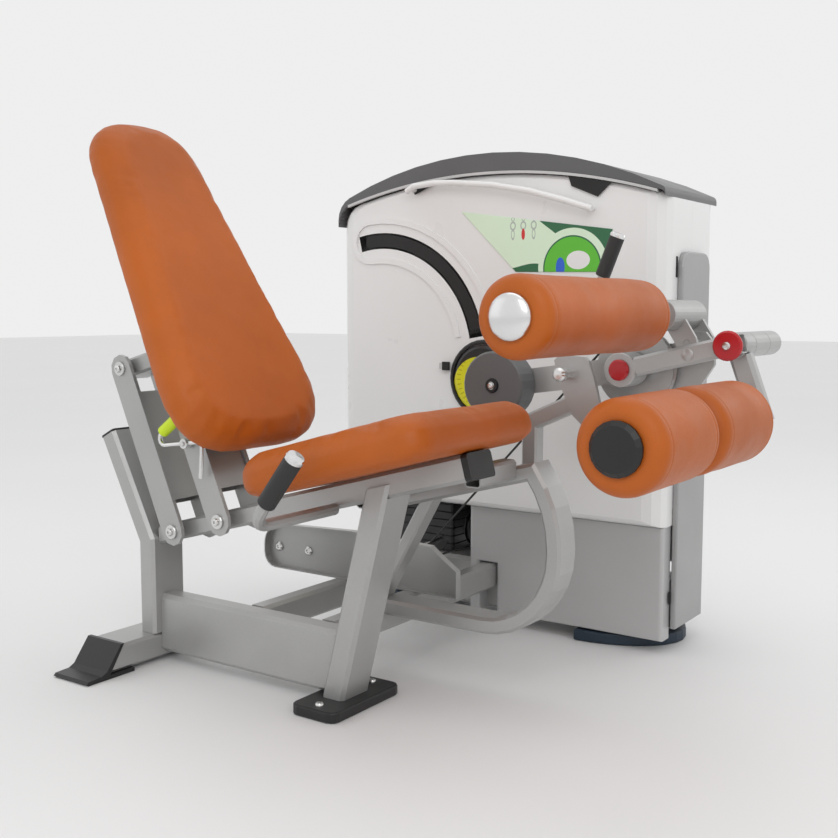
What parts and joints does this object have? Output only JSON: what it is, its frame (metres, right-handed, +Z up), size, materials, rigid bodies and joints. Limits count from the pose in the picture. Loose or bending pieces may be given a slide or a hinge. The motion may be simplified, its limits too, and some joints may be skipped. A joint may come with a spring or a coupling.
{
  "type": "seated leg extension machine",
  "caption": "Seated leg machine with thigh clamp roller, ankle rollers on a counterweighted lever, adjustable backrest and shrouded cable weight tower.",
  "frame": {"origin": "on the floor under the centre of the machine's bounding box", "axes": "+X is where the user faces, +Y towards the weight tower, +Z up"},
  "size_m": [1.6374, 1.4061, 1.3632],
  "materials": {
    "steel_paint": "metallic grey powder coat",
    "shroud_white": "satin white",
    "cap_grey": "dark grey satin",
    "column_grey": "mid grey satin",
    "black_plastic": "black moulded",
    "navy_foot": "dark navy rubber",
    "orange_vinyl": "orange vinyl upholstery over foam",
    "red_cap": "glossy red cap",
    "lever_green": "yellow-green grip",
    "dial_yellow": "yellow dial",
    "panel_green": null,
    "iron": "black iron",
    "cable_black": "black coated cable"
  },
  "bodies": {
    "frame": {"rear_foot_beam": "steel_paint", "rear_post": "steel_paint", "base_beam": "steel_paint", "front_leg": "steel_paint", "seat_rail": "steel_paint", "front_loop": "steel_paint", "loop_brace": "steel_paint", "rear_cross_tube": "steel_paint", "front_cross_tube": "steel_paint", "pulley_tray": "steel_paint", "handle_near": "steel_paint", "handle_far": "steel_paint", "link_beam": "steel_paint", "knee_brace": "steel_paint", "stop_plate": "steel_paint", "knee_plate": "steel_paint", "tower_base": "steel_paint", "rear_foot_near": "black_plastic", "rear_foot_far": "black_plastic", "post_cap": "black_plastic", "front_foot": "black_plastic", "rail_cap": "black_plastic", "dial_ring": "black_plastic", "seat_pad": "orange_vinyl", "axle_cap": "red_cap", "shroud_near": "shroud_white", "shroud_far": "shroud_white", "shroud_low": "shroud_white", "grab_bar": "shroud_white", "tower_cap": "cap_grey", "front_column": "column_grey", "tower_foot_front": "navy_foot", "tower_foot_rear": "navy_foot", "info_panel": "panel_green", "stack_resting": "iron", "lift_cable": "cable_black", "stack_cable": "cable_black"},
    "lifted_stack": {"stack_lifted": "iron"},
    "lever": {"lever_arm": "steel_paint", "counterweight": "steel_paint", "cable_drum": "black_plastic", "shaft_cap": "red_cap"},
    "ankle": {"ankle_arm": "steel_paint"},
    "ankle_roller_near": {"ankle_roller_near": "orange_vinyl"},
    "ankle_roller_far": {"ankle_roller_far": "orange_vinyl"},
    "thigh": {"thigh_arm": "steel_paint", "start_grip": "black_plastic"},
    "thigh_roller": {"thigh_roller": "orange_vinyl"},
    "pull_pin": {"pull_pin": "black_plastic"},
    "dial": {"dial_disc": "dial_yellow"},
    "rear_link": {"rear_link": "steel_paint"},
    "front_link": {"front_link": "steel_paint"},
    "carrier": {"back_carrier": "steel_paint", "backrest_pad": "orange_vinyl", "backrest_board": "black_plastic"},
    "release": {"release_lever": "iron", "release_grip": "lever_green"},
    "pulley_low_near": {"pulley_low_near": "black_plastic"},
    "pulley_low_far": {"pulley_low_far": "black_plastic"},
    "pulley_top": {"pulley_top": "black_plastic"}
  },
  "joints": [
    {"name": "stack_lift", "type": "slide", "parent": "frame", "child": "lifted_stack", "axis": [0, 0, 1], "range_m": [0, 0.094], "deforming": ["stack_cable"]},
    {"name": "lever_swing", "type": "hinge", "parent": "frame", "child": "lever", "pos_m": [0.42923, 0.08224, 0.763], "axis": [0, 1, 0], "range_deg": [0, 60]},
    {"name": "ankle_swing", "type": "hinge", "parent": "lever", "child": "ankle", "pos_m": [0.68123, 0.11524, 0.823], "axis": [0, 1, 0], "range_deg": [-12, 12]},
    {"name": "ankle_near_spin", "type": "hinge", "parent": "ankle", "child": "ankle_roller_near", "pos_m": [0.73523, -0.48276, 0.673], "axis": [0, 1, 0], "continuous": true},
    {"name": "ankle_far_spin", "type": "hinge", "parent": "ankle", "child": "ankle_roller_far", "pos_m": [0.73523, -0.21276, 0.673], "axis": [0, 1, 0], "continuous": true},
    {"name": "thigh_clamp", "type": "hinge", "parent": "frame", "child": "thigh", "pos_m": [0.57123, 0.14424, 0.826], "axis": [0, 1, 0], "range_deg": [-10, 4]},
    {"name": "thigh_spin", "type": "hinge", "parent": "thigh", "child": "thigh_roller", "pos_m": [0.53223, -0.30276, 0.888], "axis": [0, 1, 0], "continuous": true},
    {"name": "pull_pin_slide", "type": "slide", "parent": "frame", "child": "pull_pin", "axis": [0, -1, 0], "range_m": [0, 0.012], "stiffness_N_per_m": 300},
    {"name": "dial_turn", "type": "hinge", "parent": "frame", "child": "dial", "pos_m": [-0.11577, 0.32724, 0.708], "axis": [0, -1, 0], "range_deg": [-150, 150]},
    {"name": "back_adjust", "type": "hinge", "parent": "frame", "child": "front_link", "pos_m": [-0.38377, -0.36876, 0.396], "axis": [0, 1, 0], "range_deg": [0, 12]},
    {"name": "rear_link_swing", "type": "hinge", "parent": "frame", "child": "rear_link", "pos_m": [-0.54377, -0.36876, 0.353], "axis": [0, 1, 0], "range_deg": [0, 12]},
    {"name": "carrier_swing", "type": "hinge", "parent": "front_link", "child": "carrier", "pos_m": [-0.55977, -0.36876, 0.795], "axis": [0, 1, 0], "range_deg": [-12, 0]},
    {"name": "release_pull", "type": "hinge", "parent": "front_link", "child": "release", "pos_m": [-0.47177, -0.45126, 0.58], "axis": [0, 1, 0], "range_deg": [-6, 8], "stiffness_Nm_per_rad": 6},
    {"name": "pulley_low_near_turn", "type": "hinge", "parent": "frame", "child": "pulley_low_near", "pos_m": [-0.18971, 0.18654, 0.24021], "axis": [-0.729, 0, 0.6846], "range_deg": [0, 122]},
    {"name": "pulley_low_far_turn", "type": "hinge", "parent": "frame", "child": "pulley_low_far", "pos_m": [-0.22277, 0.46894, 0.2533], "axis": [-1, 0, 0], "range_deg": [0, 122]},
    {"name": "pulley_top_turn", "type": "hinge", "parent": "frame", "child": "pulley_top", "pos_m": [-0.31577, 0.51724, 1], "axis": [0, 1, 0], "range_deg": [0, 61]}
  ],
  "couplings": [
    {"joint": "lever_swing", "follows": "stack_lift", "rad_per_m": 11.111},
    {"joint": "pulley_low_near_turn", "follows": "stack_lift", "rad_per_m": 22.2},
    {"joint": "pulley_low_far_turn", "follows": "stack_lift", "rad_per_m": 22.2},
    {"joint": "pulley_top_turn", "follows": "stack_lift", "rad_per_m": 11.1},
    {"joint": "rear_link_swing", "follows": "back_adjust", "ratio": 1},
    {"joint": "carrier_swing", "follows": "back_adjust", "ratio": -1}
  ]
}
